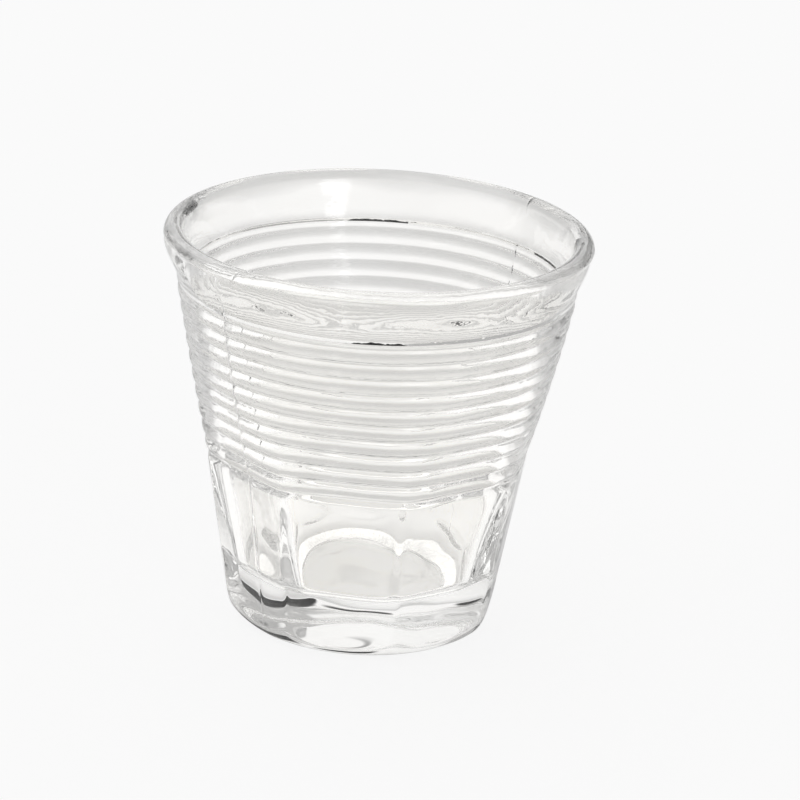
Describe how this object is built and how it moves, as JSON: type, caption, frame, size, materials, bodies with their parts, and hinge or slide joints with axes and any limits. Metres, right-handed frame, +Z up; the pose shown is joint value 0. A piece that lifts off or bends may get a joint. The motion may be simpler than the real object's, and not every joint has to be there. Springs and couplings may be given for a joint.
{
  "type": "cortado glass",
  "caption": "Small tapering tumbler of clear pressed glass with a rounded lip, a ribbed wall that turns from round to eight-sided below, and a heavy base with a round heel.",
  "frame": {"origin": "centre of the underside, in the plane of the foot ring", "axes": "+Z up along the axis of the glass, -Y towards the viewer, +X to the viewer's right"},
  "size_m": [0.078, 0.078, 0.075],
  "materials": {
    "glass": "clear, fire-polished"
  },
  "bodies": {
    "root": {"tumbler": "glass"}
  },
  "joints": []
}
